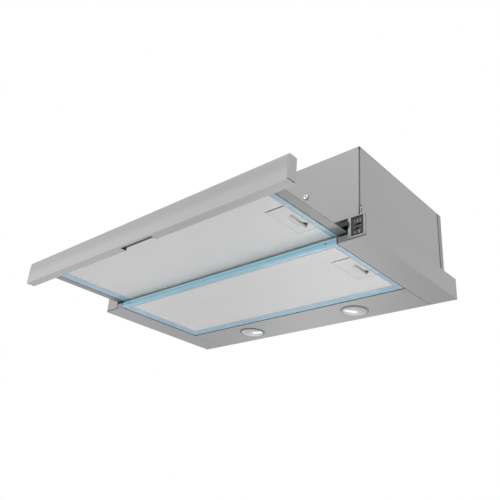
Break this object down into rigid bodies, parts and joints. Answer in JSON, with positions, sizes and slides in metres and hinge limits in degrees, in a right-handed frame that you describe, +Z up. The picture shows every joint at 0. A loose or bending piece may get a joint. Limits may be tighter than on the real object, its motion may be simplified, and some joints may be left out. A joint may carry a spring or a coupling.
{
  "type": "pull out range hood",
  "caption": "Telescopic kitchen hood with a pull-out filter drawer, swing-down grease filter, side controls, lamps, scroll fan and round duct outlet.",
  "frame": {"origin": "centre of the four fixing holes, on the upper face of the top panel", "axes": "+X right as seen from the front, +Y to the back, +Z up; the drawer pulls out along -Y"},
  "size_m": [0.598, 0.4553, 0.1896],
  "materials": {
    "silver_paint": "satin silver-grey paint",
    "rail_paint": "satin silver-grey paint",
    "trim_paint": "satin silver-grey paint",
    "cap_plastic": "satin light grey plastic",
    "bezel_plastic": "satin dark grey plastic",
    "lens_plastic": "smooth white opal",
    "black_plastic": "fine satin",
    "knob_plastic": "fine satin",
    "zinc_steel": "zinc plated",
    "filter_aluminium": "expanded mesh",
    "blue_film": "clear blue protective film",
    "pocket_plastic": "satin grey plastic",
    "latch_plastic": "satin light grey plastic",
    "scroll_plastic": "satin plastic",
    "wheel_plastic": "fine satin",
    "flap_plastic": "fine satin",
    "housing_plastic": "satin plastic",
    "motor_steel": "satin",
    "bright_steel": "bright plated",
    "plunger_plastic": "smooth"
  },
  "bodies": {
    "hood": {"top_panel": "silver_paint", "front_panel": "silver_paint", "side_panel_left": "silver_paint", "side_panel_right": "silver_paint", "back_panel": "silver_paint", "skirt_left": "silver_paint", "skirt_right": "silver_paint", "front_ledge": "silver_paint", "lamp_panel": "silver_paint", "lamp_bezel_left": "bezel_plastic", "lamp_bezel_right": "bezel_plastic", "lamp_lens_left": "lens_plastic", "lamp_lens_right": "lens_plastic", "lamp_body_left": "housing_plastic", "lamp_body_right": "housing_plastic", "fascia_left": "silver_paint", "fascia_right": "silver_paint", "slide_guide_left": "black_plastic", "slide_guide_right": "black_plastic", "runner_left": "zinc_steel", "runner_right": "zinc_steel", "switch_block": "black_plastic", "fan_scroll": "scroll_plastic", "fan_cheek_left": "scroll_plastic", "fan_cheek_right": "scroll_plastic", "motor": "motor_steel", "motor_bracket": "zinc_steel", "outlet_collar": "black_plastic", "flap_pin": "bright_steel", "terminal_box": "black_plastic", "cable_gland": "black_plastic", "capacitor": "housing_plastic", "drawer_switch": "black_plastic", "panel_screws": "bright_steel"},
    "drawer": {"drawer_side_left": "rail_paint", "drawer_side_right": "rail_paint", "drawer_rear_bar": "rail_paint", "slide_shoe_left": "black_plastic", "slide_shoe_right": "black_plastic", "front_trim": "trim_paint", "trim_cap_left": "cap_plastic", "trim_cap_right": "cap_plastic", "grip_liner": "black_plastic", "drawer_filter_frame": "filter_aluminium", "drawer_filter_mesh": "filter_aluminium", "drawer_filter_film": "blue_film", "drawer_filter_pocket": "pocket_plastic"},
    "drawer_latch": {"drawer_filter_latch": "latch_plastic"},
    "fixed_filter": {"filter_frame": "filter_aluminium", "filter_mesh": "filter_aluminium", "filter_film": "blue_film", "filter_pocket": "pocket_plastic"},
    "fixed_latch": {"filter_latch": "latch_plastic"},
    "speed_knob": {"speed_slider": "knob_plastic"},
    "light_knob": {"light_slider": "knob_plastic"},
    "fan": {"fan_wheel": "wheel_plastic", "motor_shaft": "bright_steel"},
    "front_flap": {"flap_front": "flap_plastic"},
    "rear_flap": {"flap_rear": "flap_plastic"},
    "plunger": {"switch_plunger": "plunger_plastic"}
  },
  "joints": [
    {"name": "drawer_slide", "type": "slide", "parent": "hood", "child": "drawer", "axis": [0, 1, 0], "range_m": [0, 0.1595]},
    {"name": "fixed_filter_swing", "type": "hinge", "parent": "hood", "child": "fixed_filter", "pos_m": [-0.245, 0, -0.157], "axis": [0, 1, 0], "range_deg": [0, 60]},
    {"name": "fixed_latch_slide", "type": "slide", "parent": "fixed_filter", "child": "fixed_latch", "axis": [-1, 0, 0], "range_m": [0, 0.003], "stiffness_N_per_m": 200, "springref_m": -0.002},
    {"name": "drawer_latch_slide", "type": "slide", "parent": "drawer", "child": "drawer_latch", "axis": [-1, 0, 0], "range_m": [0, 0.003], "stiffness_N_per_m": 200, "springref_m": -0.002},
    {"name": "speed_slide", "type": "slide", "parent": "hood", "child": "speed_knob", "axis": [1, 0, 0], "range_m": [0, 0.009]},
    {"name": "light_slide", "type": "slide", "parent": "hood", "child": "light_knob", "axis": [1, 0, 0], "range_m": [0, 0.005]},
    {"name": "fan_spin", "type": "hinge", "parent": "hood", "child": "fan", "pos_m": [0, -0.04474, -0.0615], "axis": [1, 0, 0], "continuous": true},
    {"name": "front_flap_swing", "type": "hinge", "parent": "hood", "child": "front_flap", "pos_m": [0, 0, 0.009], "axis": [-1, 0, 0], "range_deg": [0, 75]},
    {"name": "rear_flap_swing", "type": "hinge", "parent": "hood", "child": "rear_flap", "pos_m": [0, 0, 0.009], "axis": [1, 0, 0], "range_deg": [0, 75]},
    {"name": "plunger_slide", "type": "slide", "parent": "hood", "child": "plunger", "axis": [0, 1, 0], "range_m": [0, 0.002], "stiffness_N_per_m": 150, "springref_m": -0.002}
  ]
}
